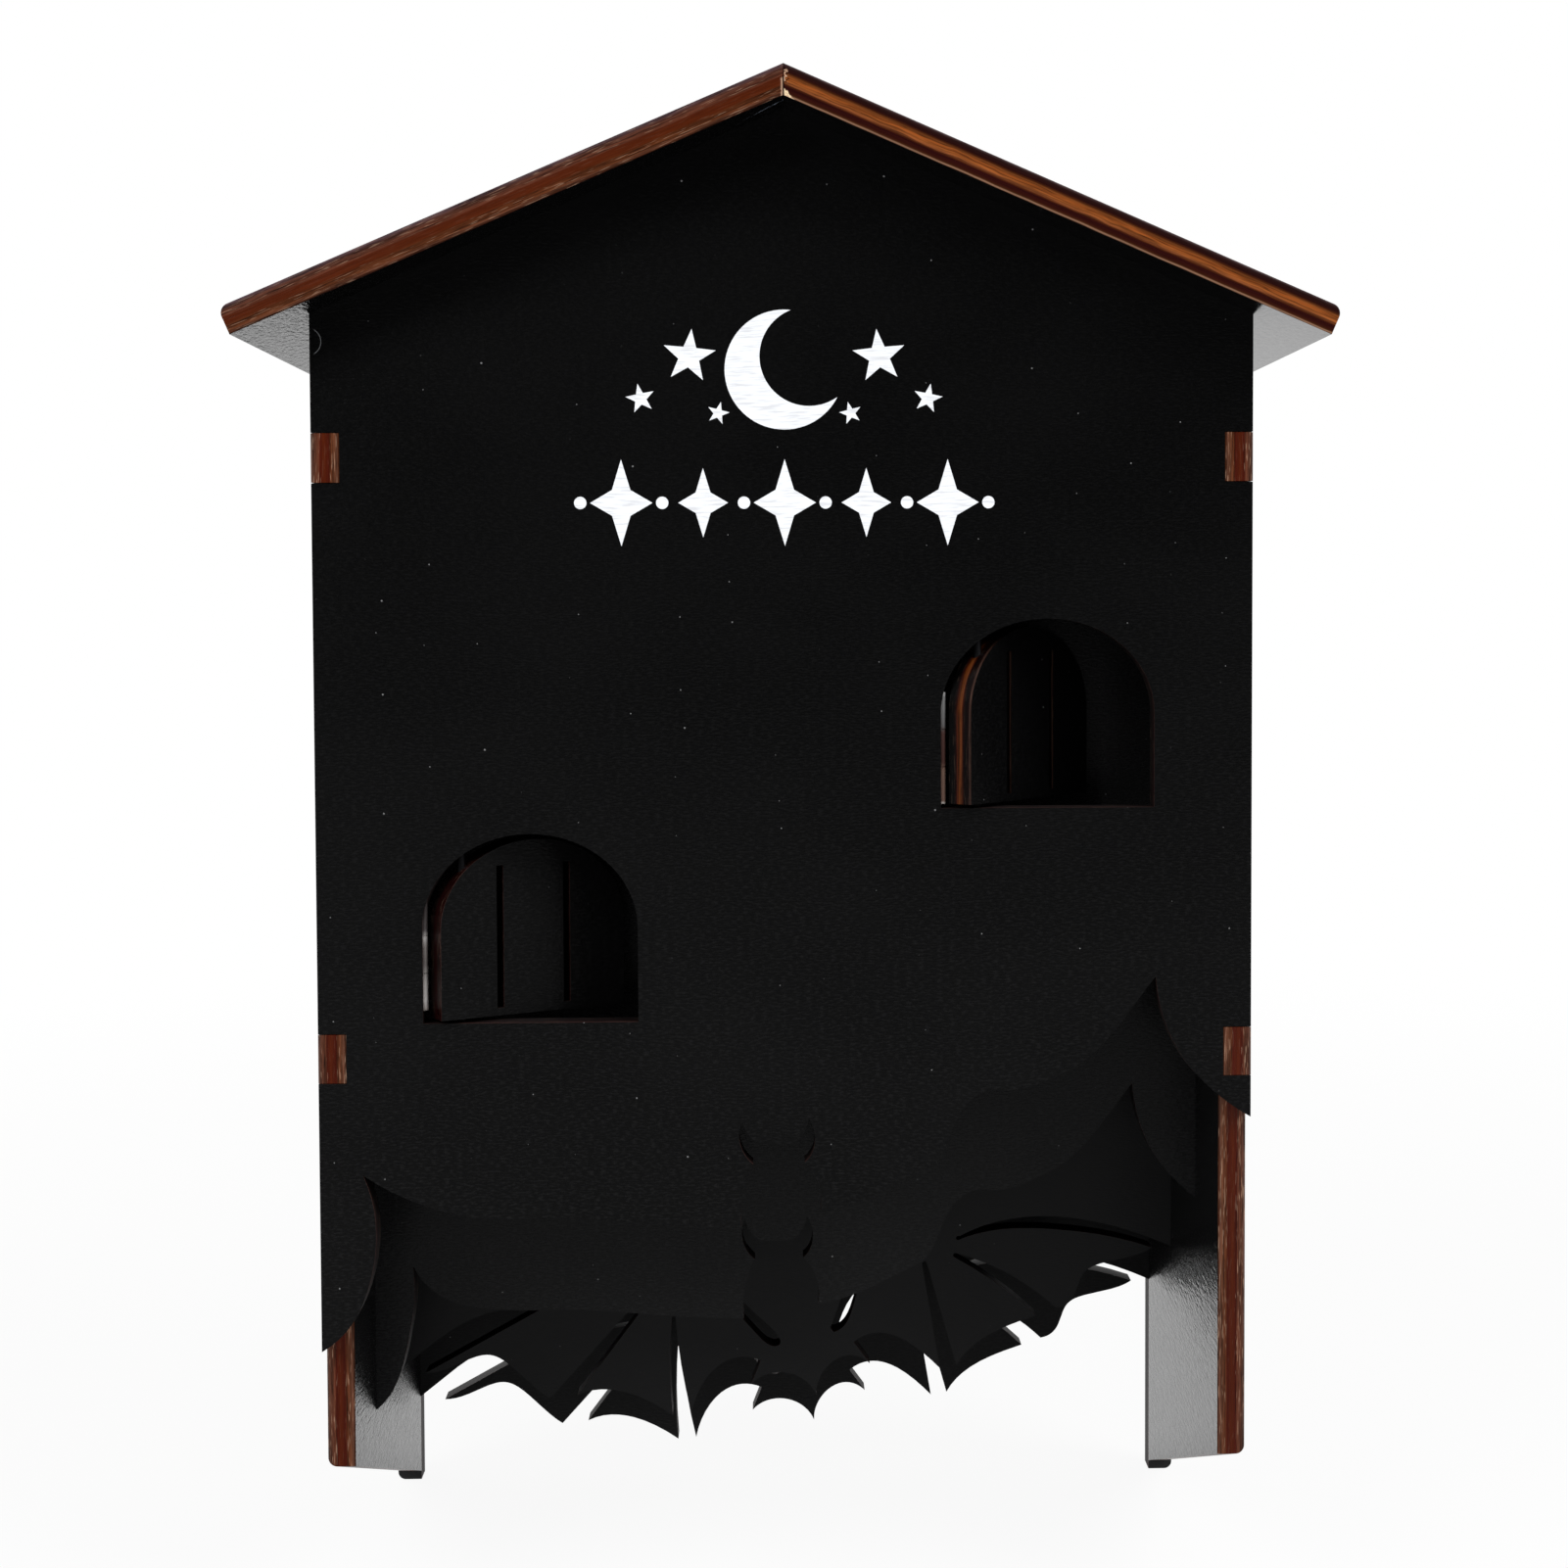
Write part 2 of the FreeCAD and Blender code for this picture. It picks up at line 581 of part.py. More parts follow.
def make_door(side, middle, sill_drop, angle):
    """Plank door about its pivot, with its foot at z = 0, turned inwards by its angle."""
    body = new_body(
        f"{side}_door",
        x=pivot_x(middle),
        y=f"Sheet.ply / 2 - Sheet.body_depth",
        z=f"Sheet.hang_drop - {sill_drop} + Sheet.sill_gap",
    )
    body.Placement = FreeCAD.Placement(body.Placement.Base, Rotation(Vector(0, 0, 1), 1))
    body.setExpression(".Placement.Rotation.Angle", angle)
    edge = -value("Sheet.pivot_inset")
    width = 2 * value(DOOR_HALF)
    spring = value(DOOR_STRAIGHT)
    crown = spring + value(DOOR_RISE)
    leaf = new_sketch(body, "leaf", "XZ_Plane")
    draw_arch(leaf, edge, edge + width, 0, spring, crown)
    add_pad(body, leaf, "Sheet.ply", midplane=True)

    slots = new_sketch(body, "plank_lines", "XZ_Plane")
    for count in (0, 1):
        line = f"Sheet.first_slot + {count} * Sheet.slot_spacing - Sheet.pivot_inset"
        left = f"{line} - Sheet.plank_slot / 2"
        right = f"{line} + Sheet.plank_slot / 2"
        add_rectangle(slots, left, right, "Sheet.slot_foot", "Sheet.slot_foot + Sheet.slot_length")
    add_pocket(body, slots, "Sheet.ply", "plank_slots", midplane=True)

    lower = new_sketch(body, "lower_pin_circle", "XY_Plane")
    add_circle(lower, "0", "0", "Sheet.pin_diameter")
    add_pocket(body, lower, "Sheet.pin_seat", "lower_pin_hole")
    upper = new_sketch(body, "upper_pin_circle", "XY_Plane", f"{DOOR_AT_PIVOT} - Sheet.pin_seat")
    add_circle(upper, "0", "0", "Sheet.pin_diameter")
    add_pocket(body, upper, "2 * Sheet.pin_seat", "upper_pin_hole")
    return body


def make_door_pins(side, middle, sill_drop):
    """The two pins that one door turns on, fixed in the door and free in the panel."""
    foot = f"Sheet.hang_drop - {sill_drop} + Sheet.sill_gap"
    lower_end = {
        "lower": f"{foot} + Sheet.pin_seat - Sheet.pin_length",
        "upper": f"{foot} + {DOOR_AT_PIVOT} - Sheet.pin_seat",
    }
    pins = []
    for place, height in lower_end.items():
        pin = doc.addObject("Part::Cylinder", f"{side}_{place}_pin")
        pin.setExpression("Radius", "Sheet.pin_diameter / 2")
        pin.setExpression("Height", "Sheet.pin_length")
        pin.setExpression(".Placement.Base.x", pivot_x(middle))
        pin.setExpression(".Placement.Base.y", f"Sheet.ply / 2 - Sheet.body_depth")
        pin.setExpression(".Placement.Base.z", height)
        pins.append(pin)
    group = doc.addObject("Part::Compound", f"{side}_door_pins")
    group.Label = f"{side}_door_pins"
    group.Links = pins
    doc.recompute()
    return group


nodes = [
    make_front_panel(),
    make_front_baffle(),
    make_rear_baffle(),
    make_back_panel(),
    make_side_panel("left_side", f"-({HALF})", "0"),
    make_side_panel("right_side", INNER, "Sheet.ply"),
    make_roof_board("left_roof_board", -1),
    make_roof_board("right_roof_board", 1),
]
for side, middle, sill_drop, angle in DOORWAYS:
    nodes.append(make_door(side, middle, sill_drop, angle))
    nodes.append(make_door_pins(side, middle, sill_drop))

doc.recompute()
for item in doc.Objects:
    if "Invalid" in item.State or "Error" in item.State:
        raise ValueError(f"{item.Name} did not recompute: {item.State}")

os.makedirs("parts", exist_ok=True)
for node in nodes:
    shape = node.Shape
    if shape.isNull() or not shape.isValid():
        raise ValueError(f"{node.Label} has no valid shape")
    shape.exportStep(f"parts/{node.Label}.step")
    size = shape.BoundBox
    print(f"{node.Label}: {len(shape.Solids)} solid(s), {shape.Volume:.0f} mm3,"
          f" x {size.XMin:.1f} to {size.XMax:.1f}, y {size.YMin:.1f} to {size.YMax:.1f},"
          f" z {size.ZMin:.1f} to {size.ZMax:.1f}")
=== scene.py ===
# %% [markdown]
# # A painted plywood bat box
#
# The frame that is loaded here holds every board of the box as a finished solid: two
# gabled panels, two baffles, two sides, two roof boards and a pair of plank doors on
# steel pins. What is left to make is what a joiner would call the finish: black satin
# paint over plywood grain, brown cut edges that show the layers of the ply, the small
# bright hinges in the doorways, a white printed ornament, and light to see it by.

# %% Load the boards
import math

import bpy
from mathutils import Matrix, Vector


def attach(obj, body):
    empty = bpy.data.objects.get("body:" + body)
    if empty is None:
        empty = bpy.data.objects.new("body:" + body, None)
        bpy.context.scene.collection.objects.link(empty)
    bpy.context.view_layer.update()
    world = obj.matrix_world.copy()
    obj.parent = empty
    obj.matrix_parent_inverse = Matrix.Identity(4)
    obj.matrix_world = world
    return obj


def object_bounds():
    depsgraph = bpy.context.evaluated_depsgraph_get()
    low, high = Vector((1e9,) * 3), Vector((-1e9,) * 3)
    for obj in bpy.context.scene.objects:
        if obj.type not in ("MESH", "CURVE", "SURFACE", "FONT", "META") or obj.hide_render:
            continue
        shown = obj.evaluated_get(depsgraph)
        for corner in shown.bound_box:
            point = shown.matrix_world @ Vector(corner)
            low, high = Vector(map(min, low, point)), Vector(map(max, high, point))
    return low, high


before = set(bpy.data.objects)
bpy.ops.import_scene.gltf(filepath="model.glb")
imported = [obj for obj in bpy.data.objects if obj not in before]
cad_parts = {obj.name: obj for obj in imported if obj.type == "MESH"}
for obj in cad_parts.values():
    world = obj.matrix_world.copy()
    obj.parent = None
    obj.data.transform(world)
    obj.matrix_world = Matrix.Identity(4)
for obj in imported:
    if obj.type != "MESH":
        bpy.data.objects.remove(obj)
cad_low, cad_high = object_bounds()
bpy.ops.object.select_all(action="DESELECT")
print("boards:", ", ".join(sorted(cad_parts)))

# %% [markdown]
# ## Sizes that the finish needs
#
# The paint sits on the broad faces of a board and the brown layers show on its edges, so
# each material has to know where a board's face is and which way the board is thick. The
# few sizes below are those of the box itself, in metres. The places of the doors and the
# roof boards follow from their angles.

# %% Sizes of the box
PLY = 0.00635
LAYER = PLY + 0.0303
HALF_WIDTH = 0.1067
PEAK = 0.024
ROOF_PITCH = math.radians(23.3)
FRONT = -(3 * LAYER + PLY)
LEFT_AJAR = math.radians(30.5)
RIGHT_AJAR = math.radians(48.3)
LEFT_PIVOT = (-0.07435, FRONT + PLY / 2, 0.0)
RIGHT_PIVOT = (0.04385, FRONT + PLY / 2, 0.0)
print(f"front face of the box at y = {FRONT * 1000:.1f} mm")

# %% [markdown]
# ## Shader maths as Python
#
# A wooden surface is layers of arithmetic: noise times strength plus a shade, and so on.
# Wiring each sum by hand hides the idea, so a small class wraps a socket and lets Python
# operators add the Math nodes. A second class is a node tree with one method that adds
# any other node, and a material is such a tree with a Principled shader at its end.

# %% Values that flow between nodes
class Flow:
    """A node's output; arithmetic on it adds Math nodes."""

    def __init__(self, tree, socket):
        self.tree = tree
        self.socket = socket

    def maths(self, operation, *terms):
        return self.tree.node("ShaderNodeMath", {"operation": operation}, *terms)["Value"]

    def __add__(self, other):
        return self.maths("ADD", self, other)

    __radd__ = __add__

    def __sub__(self, other):
        return self.maths("SUBTRACT", self, other)

    def __rsub__(self, other):
        return self.maths("SUBTRACT", other, self)

    def __mul__(self, other):
        return self.maths("MULTIPLY", self, other)

    __rmul__ = __mul__

    def __truediv__(self, other):
        return self.maths("DIVIDE", self, other)

    def __pow__(self, other):
        return self.maths("POWER", self, other)

    def __gt__(self, other):
        return self.maths("GREATER_THAN", self, other)

    def __lt__(self, other):
        return self.maths("LESS_THAN", self, other)

    def __abs__(self):
        return self.maths("ABSOLUTE", self)

    def highest(self, other):
        return self.maths("MAXIMUM", self, other)

    def smooth(self, low, high):
        """0 below low, 1 above high, and a soft step between; high may be the lower."""
        settings = {"interpolation_type": "SMOOTHSTEP"}
        ranged = {"Value": self, "From Min": low, "From Max": high}
        return self.tree.node("ShaderNodeMapRange", settings, **ranged)["Result"]


# %% A tree that grows node by node
class Mixing:
    """A node tree being built."""

    def __init__(self, tree):
        self.tree = tree

    def node(self, kind, settings=None, *terms, **inputs):
        """Add a node, set it up and feed its inputs, and return its outputs."""
        made = self.tree.nodes.new(kind)
        for key, setting in (settings or {}).items():
            if key == "stops":
                self.set_stops(made.color_ramp, setting)
            else:
                setattr(made, key, setting)
        by_name = {}
        for socket in made.inputs:
            if socket.enabled:
                by_name.setdefault(socket.name, socket)
        fed = list(zip(made.inputs, terms))
        fed += [(by_name[key], term) for key, term in inputs.items()]
        for socket, term in fed:
            self.feed(socket, term)
        outputs = {}
        for socket in made.outputs:
            if socket.enabled:
                outputs.setdefault(socket.name, Flow(self, socket))
        return outputs

    def feed(self, socket, term):
        if isinstance(term, Flow):
            self.tree.links.new(term.socket, socket)
        else:
            socket.default_value = term

    def set_stops(self, ramp, stops):
        """Colour stops (place, colour) of a ramp, from low to high."""
        while len(ramp.elements) < len(stops):
            ramp.elements.new(0.5)
        for element, (place, colour) in zip(ramp.elements, stops):
            element.position = place
            element.color = (*colour, 1.0)

    def blend(self, share, one, other):
        """Colour between one and other."""
        settings = {"data_type": "RGBA"}
        coloured = {"Factor": share, "A": one, "B": other}
        return self.node("ShaderNodeMix", settings, **coloured)["Result"]

    def noise(self, place, scale, detail=2.0, roughness=0.5):
        """Noise from 0 to 1 round one half."""
        inputs = {"Vector": place, "Scale": scale, "Detail": detail, "Roughness": roughness}
        return self.node("ShaderNodeTexNoise", None, **inputs)["Fac"]


class Finish(Mixing):
    """A material with its Principled shader."""

    def __init__(self, name):
        self.material = bpy.data.materials.new(name)
        self.material.use_nodes = True
        super().__init__(self.material.node_tree)
        self.shader = self.tree.nodes["Principled BSDF"]

    def shine(self, **inputs):
        """Feed the Principled shader, spaces in a socket's name written as _."""
        for key, term in inputs.items():
            self.feed(self.shader.inputs[key.replace("_", " ")], term)


print("shader maths ready")

# %% [markdown]
# ## Where each board stands
#
# Wood grain belongs to a board, not to the world, so every material first turns object
# coordinates into the board's own: x along it, y through its thickness and z up its
# face. A Mapping node of the texture kind does this from one corner and two directions.
# The same direction through the thickness tells a painted face from a bare edge.

# %% Corners and directions of the boards
def towards(angle):
    """Along and across a board that stands upright at an angle from +X."""
    return (math.cos(angle), math.sin(angle), 0), (-math.sin(angle), math.cos(angle), 0)


def roof_directions(side):
    """Along a roof board from the ridge, and down through it."""
    run, fall = math.cos(ROOF_PITCH), math.sin(ROOF_PITCH)
    return (side * run, 0, -fall), (-side * fall, 0, -run)


def door_corner(pivot, angle):
    """Point of a door's outer face in front of its pivot."""
    inwards = Vector(towards(angle)[1])
    return tuple(Vector(pivot) - inwards * PLY / 2)


RIDGE = (0, 0, PEAK + PLY / math.cos(ROOF_PITCH))
PLACES = {
    "front_panel": ((0, FRONT, 0), *towards(0)),
    "front_baffle": ((0, FRONT + LAYER, 0), *towards(0)),
    "rear_baffle": ((0, FRONT + 2 * LAYER, 0), *towards(0)),
    "back_panel": ((0, FRONT + 3 * LAYER, 0), *towards(0)),
    "left_side": ((-HALF_WIDTH, 0, 0), *towards(math.radians(-90))),
    "right_side": ((HALF_WIDTH, 0, 0), *towards(math.radians(90))),
    "left_roof_board": (RIDGE, *roof_directions(-1)),
    "right_roof_board": (RIDGE, *roof_directions(1)),
    "left_door": (door_corner(LEFT_PIVOT, LEFT_AJAR), *towards(LEFT_AJAR)),
    "right_door": (door_corner(RIGHT_PIVOT, RIGHT_AJAR), *towards(RIGHT_AJAR)),
}
print(len(PLACES), "boards set out")


# %% Object coordinates turned into a board's own
def set_out(finish, corner, along, across):
    """The board's own coordinates, and 1 on its two broad faces."""
    up = Vector(along).cross(Vector(across))
    turn = Matrix((along, across, up)).transposed().to_euler()
    where = finish.node("ShaderNodeTexCoord")
    settings = {"vector_type": "TEXTURE"}
    place = finish.node("ShaderNodeMapping", settings, Vector=where["Object"],
                        Location=corner, Rotation=turn)["Vector"]
    part = finish.node("ShaderNodeSeparateXYZ", None, place)
    dot = {"operation": "DOT_PRODUCT"}
    leaning = finish.node("ShaderNodeVectorMath", dot, where["Normal"], across)["Value"]
    return part["X"], part["Y"], part["Z"], abs(leaning) > 0.7


def stretched(finish, x, y, z):
    """Vector from three values, for noise that runs further one way than another."""
    return finish.node("ShaderNodeCombineXYZ", None, x, y, z)["Vector"]


print("coordinates ready")

# %% [markdown]
# ## Black satin paint over plywood
#
# The paint is nearly black and thin enough for the grain to telegraph through: short
# rows, about half a millimetre apart, that wander as they cross the board. Noise squeezed
# in one direction gives the rows, and a second, slower noise bends them. The tops of the
# rows are drawn paler, a painted highlight on the grain, and low on the box the paint and
# the rows are drawn paler still, a painted reflection of the floor. Over it lies the
# texture of sprayed lacquer, a fine pebbling that only shows where a face is seen at a
# glancing angle and mirrors something bright, so it is drawn out along the way such a
# face is looked at.
# Specks of dust caught in the paint are dots from a Voronoi pattern, each of its own size.

# %% Paint on the faces
PAINT_DARK = (0.0014, 0.0014, 0.0015, 1)
PAINT_PALE = (0.0033, 0.0033, 0.0034, 1)
PAINT_SHEEN = (0.013, 0.013, 0.0133, 1)
DUST = (0.24, 0.24, 0.245, 1)
ROWS_ALONG = 700
ROWS_UP = 2300
DUST_CELLS = 88.0
DUST_SIZE = 0.024


def paint(finish, x, y, z, rows, pebbling, pebble, painted_lift):
    """Colour, roughness and relief of the painted faces.

    rows and pebbling are the height of the grain and of the lacquer texture, and rows
    also sets the painted highlight on the grain rows; pebble is how many of its bumps go
    on a metre along the board and across it. The last argument is how far the whole face
    is lifted towards the highlight tone, painted light that makes a board read brighter.
    """
    slow = finish.noise(stretched(finish, x * 14, y * 14, z * 22), 1.0)
    wander = stretched(finish, x * ROWS_ALONG, y * ROWS_ALONG, z * ROWS_UP + slow * 18)
    grain = finish.noise(wander, 1.0, detail=1.5, roughness=0.6)
    along, upwards = pebble
    bumps = stretched(finish, x * along, y * 1500, z * upwards)
    pebbles = finish.noise(bumps, 1.0, detail=1.0)
    cells = {"voronoi_dimensions": "2D"}
    flat = stretched(finish, x, z, 0)
    dust = finish.node("ShaderNodeTexVoronoi", cells, Vector=flat, Scale=DUST_CELLS)
    size = finish.node("ShaderNodeSeparateColor", None, dust["Color"])["Red"]
    reach = size ** 4 * DUST_SIZE
    speck = dust["Distance"].smooth(reach, reach * 0.5)
    # Low on the box the paint is drawn paler: a painted reflection of the floor.
    low = z.smooth(-0.04, -0.24)
    # The tops of the grain rows are drawn paler: a painted highlight, stronger low on the
    # box.
    rubbed_and_sheen = grain.smooth(0.44, 0.72) * (0.10 + low * 0.40) * min(rows, 1.0)
    shade = finish.blend(slow.smooth(0.35, 0.65) * 0.4 + low * 0.6, PAINT_DARK, PAINT_PALE)
    # A lift moves a whole board towards the highlight tone: painted light that makes it
    # read brighter.
    colour = finish.blend(rubbed_and_sheen + painted_lift, shade, PAINT_SHEEN)
    colour = finish.blend(speck * 0.7, colour, DUST)
    roughness = 0.19 + grain * 0.05 + pebbles * 0.05
    relief = grain * rows + pebbles * pebbling + speck * 0.6
    return colour, roughness, relief


print("paint ready")

# %% [markdown]
# ## Bare edges of three-ply
#
# A cut edge shows three plies. The middle one has its grain end-on and takes the stain
# evenly, a smooth reddish brown. The two outer plies run along the board, so their pores
# are cut lengthways and show as pale and dark dashes a few millimetres long; the pale
# dashes are the pores' own lighter wood together with a painted highlight on the fibres.
# The right roof board and the right door are cut the other way, and their middle ply has
# the lines.
# A colour ramp through the thickness holds the plies, from the front or outer face to the
# other. Noise squeezed through the thickness and long along the board draws fibres and
# dashes, whichever way the edge curves, because it only knows the direction through the
# board.

# %% Plies of the roof boards
GLOSS = 0.0045


def brown(red, green, blue):
    """Linear colour of a display colour, less the grey that its gloss adds."""
    return tuple(max((part / 255) ** 2.2 - GLOSS, 0.001) for part in (red, green, blue))


# The pale stops at a board's faces are its arrises: partly worn wood and partly a painted
# highlight where the rounded arris catches the light.
RIGHT_ROOF_PLIES = (
    (0.00, brown(96, 84, 84)),
    (0.04, brown(60, 46, 46)),
    (0.09, brown(43, 29, 28)),
    (0.22, brown(44, 25, 18)),
    (0.28, brown(66, 37, 22)),
    (0.34, brown(108, 62, 34)),
    (0.42, brown(120, 65, 33)),
    (0.53, brown(128, 73, 39)),
    (0.60, brown(112, 65, 40)),
    (0.66, brown(66, 36, 24)),
    (0.71, brown(47, 23, 17)),
    (0.86, brown(53, 28, 16)),
    (0.915, brown(66, 40, 25)),
    (0.945, brown(124, 94, 76)),
    (0.975, brown(116, 86, 68)),
    (1.00, brown(48, 34, 28)),
)
LEFT_ROOF_PLIES = (
    (0.00, brown(84, 68, 72)),
    (0.08, brown(70, 52, 52)),
    (0.15, brown(74, 48, 40)),
    (0.30, brown(80, 48, 37)),
    (0.35, brown(86, 50, 38)),
    (0.39, brown(74, 36, 17)),
    (0.62, brown(78, 38, 18)),
    (0.68, brown(74, 42, 28)),
    (0.84, brown(79, 47, 32)),
    (0.91, brown(88, 56, 43)),
    (0.95, brown(64, 40, 30)),
    (0.99, brown(44, 28, 24)),
)
print("plies of the roof:", len(RIGHT_ROOF_PLIES), "and", len(LEFT_ROOF_PLIES), "stops")

# %% Plies of the upright boards
# The pale stops at a board's faces are its arrises: partly worn wood and partly a painted
# highlight where the rounded arris catches the light.
CARCASS_PLIES = (
    (0.00, brown(92, 78, 72)),
    (0.06, brown(78, 54, 46)),
    (0.14, brown(78, 50, 40)),
    (0.27, brown(84, 50, 38)),
    (0.32, brown(68, 30, 17)),
    (0.45, brown(77, 36, 18)),
    (0.64, brown(68, 30, 16)),
    (0.70, brown(78, 45, 31)),
    (0.84, brown(90, 57, 42)),
    (0.92, brown(90, 60, 48)),
    (0.97, brown(60, 36, 26)),
)
PANEL_PLIES = (
    (0.00, brown(88, 64, 60)),
    (0.04, brown(64, 40, 37)),
    (0.09, brown(38, 24, 22)),
    (0.35, brown(30, 20, 18)),
    (0.50, brown(34, 22, 19)),
    (0.65, brown(28, 20, 18)),
)
print("plies of the uprights:", len(CARCASS_PLIES), "and", len(PANEL_PLIES), "stops")

# %% Plies of the doors
# The pale stops at a door's faces are its arrises: partly worn wood and partly a painted
# highlight where the rounded arris catches the light.
LEFT_DOOR_PLIES = (
    (0.00, brown(64, 50, 47)),
    (0.06, brown(38, 24, 22)),
    (0.30, brown(32, 20, 18)),
    (0.50, brown(36, 21, 18)),
    (0.70, brown(26, 20, 18)),
)
RIGHT_DOOR_PLIES = (
    (0.00, brown(40, 30, 26)),
    (0.04, brown(60, 46, 42)),
    (0.09, brown(54, 42, 38)),
    (0.13, brown(31, 23, 22)),
    (0.26, brown(26, 16, 14)),
    (0.33, brown(33, 14, 8)),
    (0.39, brown(58, 32, 18)),
    (0.46, brown(86, 50, 32)),
    (0.53, brown(78, 44, 26)),
    (0.65, brown(50, 27, 17)),
    (0.71, brown(30, 14, 10)),
    (0.80, brown(15, 8, 6)),
    (1.00, brown(16, 11, 9)),
)
print("plies of the doors:", len(LEFT_DOOR_PLIES), "and", len(RIGHT_DOOR_PLIES), "stops")

# %% An edge with fibres and dashes
WORN_AND_GLINT = (*brown(176, 142, 118), 1)


def edge(finish, x, y, z, plies, wavy, outer_lines, middle_lines, pores):
    """Colour, roughness and relief of a bare edge.

    wavy bends the grain, outer_lines and middle_lines are the contrast of the fibres in
    the outer and the middle plies, and pores is the share of pale dashes, which are the
    pores' own lighter wood together with a painted highlight on the fibres.
    """
    sway = finish.noise(stretched(finish, x * 110, y * 110, z * 110), 1.0)
    depth = y + (sway - 0.5) * wavy
    fibre = finish.noise(stretched(finish, x * 75, depth * 2500, z * 75), 1.0, 4.0, 0.62)
    long_pores = stretched(finish, x * 260, depth * 4300, z * 260)
    dashes = finish.noise(long_pores, 1.0, detail=1.0)
    through = y / PLY + (sway - 0.5) * 0.05
    stripes = finish.node("ShaderNodeValToRGB", {"stops": plies}, through)["Color"]
    outer = 1.0 - through.smooth(0.31, 0.37) * through.smooth(0.69, 0.63)
    contrast = outer * (outer_lines - middle_lines) + middle_lines
    lines = fibre.smooth(0.36, 0.64) - 0.5
    tone = 1.0 + lines * contrast - dashes.smooth(0.42, 0.32) * contrast * 0.35
    toned = {"operation": "SCALE"}
    grained = finish.node("ShaderNodeVectorMath", toned, Vector=stripes,
                          Scale=tone)["Vector"]
    # Pale dashes: the pores' own lighter wood together with a painted highlight on the
    # fibres.
    pale = dashes.smooth(0.60, 0.70) * (outer * 0.9 + 0.1) * pores
    colour = finish.blend(pale, grained, WORN_AND_GLINT)
    return colour, 0.21 + fibre * 0.09, fibre * 0.32 + dashes * 0.28


print("edges ready")

# %% [markdown]
# ## Seam at the ridge
#
# The two roof boards meet in an upright mitre that never closes quite tight. From the
# front it is a thin dark line, with the stain worn pale beside it, and a chip has broken
# off the lower corner of the right-hand board, where the raw wood is nearly cream. All
# of it depends only on the distance from the seam and the height over the lower arris,
# so two values and a few soft steps draw it.

# %% Marks beside the seam
RAW_WOOD = (*brown(226, 204, 166), 1)
SEAM_DARK = (*brown(14, 9, 8), 1)


def worn_seam(finish, colour, x, y, chipped):
    """Seam, pale arris and chip over the colour of a roof board's front end."""
    seam = x * math.cos(ROOF_PITCH) - y * math.sin(ROOF_PITCH)
    above = (PLY - y) / math.cos(ROOF_PITCH)
    rough = finish.noise(stretched(finish, x, y, 0.0), 2300.0, detail=3.0) - 0.5
    coarse = finish.noise(stretched(finish, x, y, 0.3), 1100.0, detail=1.0) - 0.5
    if chipped:
        broken = above + seam * 0.75 + coarse * 0.0016 + rough * 0.0006
        chip = broken.smooth(0.0019, 0.0016)
        stained = finish.blend(rough.smooth(0.10, -0.16), RAW_WOOD, WORN_AND_GLINT)
        colour = finish.blend(chip, colour, stained)
        beside = (seam + coarse * 0.0012).smooth(0.0013, 0.0009)
        beside = beside * above.smooth(0.0028, 0.0033) * above.smooth(0.0062, 0.0054)
        colour = finish.blend(beside * coarse.smooth(0.03, 0.08), colour, WORN_AND_GLINT)
        colour = finish.blend(beside * coarse.smooth(-0.03, -0.08), colour, SEAM_DARK)
    else:
        rubbed_and_sheen = (seam + rough * 0.0006).smooth(0.00065, 0.0005)
        rubbed_and_sheen = rubbed_and_sheen * above.smooth(0.0042, 0.0036)
        colour = finish.blend(rubbed_and_sheen * 0.7, colour, WORN_AND_GLINT)
    shut = above.smooth(0.0050, 0.0036) * 0.00009 + 0.00007
    return finish.blend((seam - shut).smooth(0.00006, -0.00006), colour, SEAM_DARK)


print("seam ready")

# %% [markdown]
# ## A painted highlight and a pale arc
#
# A painted highlight, a pale bluish streak, crosses the underside of the left roof board
# where it overhangs the front, and a thin pale arc is drawn on the paint near the left
# eave. Each is a distance turned into a thin line: the streak from a slanting line, broken
# up by noise, and the arc from a circle, of which only one side is kept. Comparing the
# depth with half the thickness keeps each mark on one face of its board.

# %% Highlight streak and pale arc
# Colour of the painted highlight streak.
HIGHLIGHT_STREAK = (0.105, 0.120, 0.150, 1)
STREAK_START = 0.0042
STREAK_SLOPE = 0.37
ROOF_FRONT = 0.1313
ARC_TONE = (0.16, 0.165, 0.17, 1)
ARC_MIDDLE = (-0.1072, -0.0282)
ARC_RADIUS = 0.0031


def highlight_under_roof(finish, colour, x, y, z):
    """Painted highlight, a pale streak under a roof board at its front, by the ridge."""
    depth = ROOF_FRONT - abs(z)
    patchy = finish.noise(stretched(finish, x * 700, z * 700, 0.0), 1.0, detail=3.0)
    off = abs(depth - x * STREAK_SLOPE - STREAK_START + (patchy - 0.5) * 0.0008)
    streak = off.smooth(0.0010, 0.0002) * x.smooth(0.0130, 0.0070) * (y > PLY / 2)
    return finish.blend(streak * patchy.smooth(0.34, 0.56), colour, HIGHLIGHT_STREAK)


def pale_arc(finish, colour, x, y, z):
    """Thin pale curved line near the left eave."""
    across, up = x - ARC_MIDDLE[0], z - ARC_MIDDLE[1]
    ring = abs((across * across + up * up) ** 0.5 - ARC_RADIUS)
    arc = ring.smooth(0.00012, 0.00004) * across.smooth(0.0013, 0.0019) * (y < PLY / 2)
    return finish.blend(arc * 0.8, colour, ARC_TONE)


print("marks ready")

# %% [markdown]
# ## One finish for each board
#
# Every board gets a material of its own, made by one function, because the boards differ
# only in a few numbers: the plies of their edges, how strongly the grain and the lacquer
# stand up, how glossy they are, and how far painted light lifts their paint towards the
# highlight tone, so that the baffles and the back panel read brighter. The share of the
# broad face blends the paint's colour, roughness and relief with those of the bare edge.
# A door's edges away from its hinge are drawn dark, in its slots and on its arched top,
# so its plies show only beside its hinge and, more faintly, along its front arris.

# %% Paint and edges together
SLOT_DARK = (*brown(26, 20, 19), 1)
RELIEF_DEPTH = 0.00008


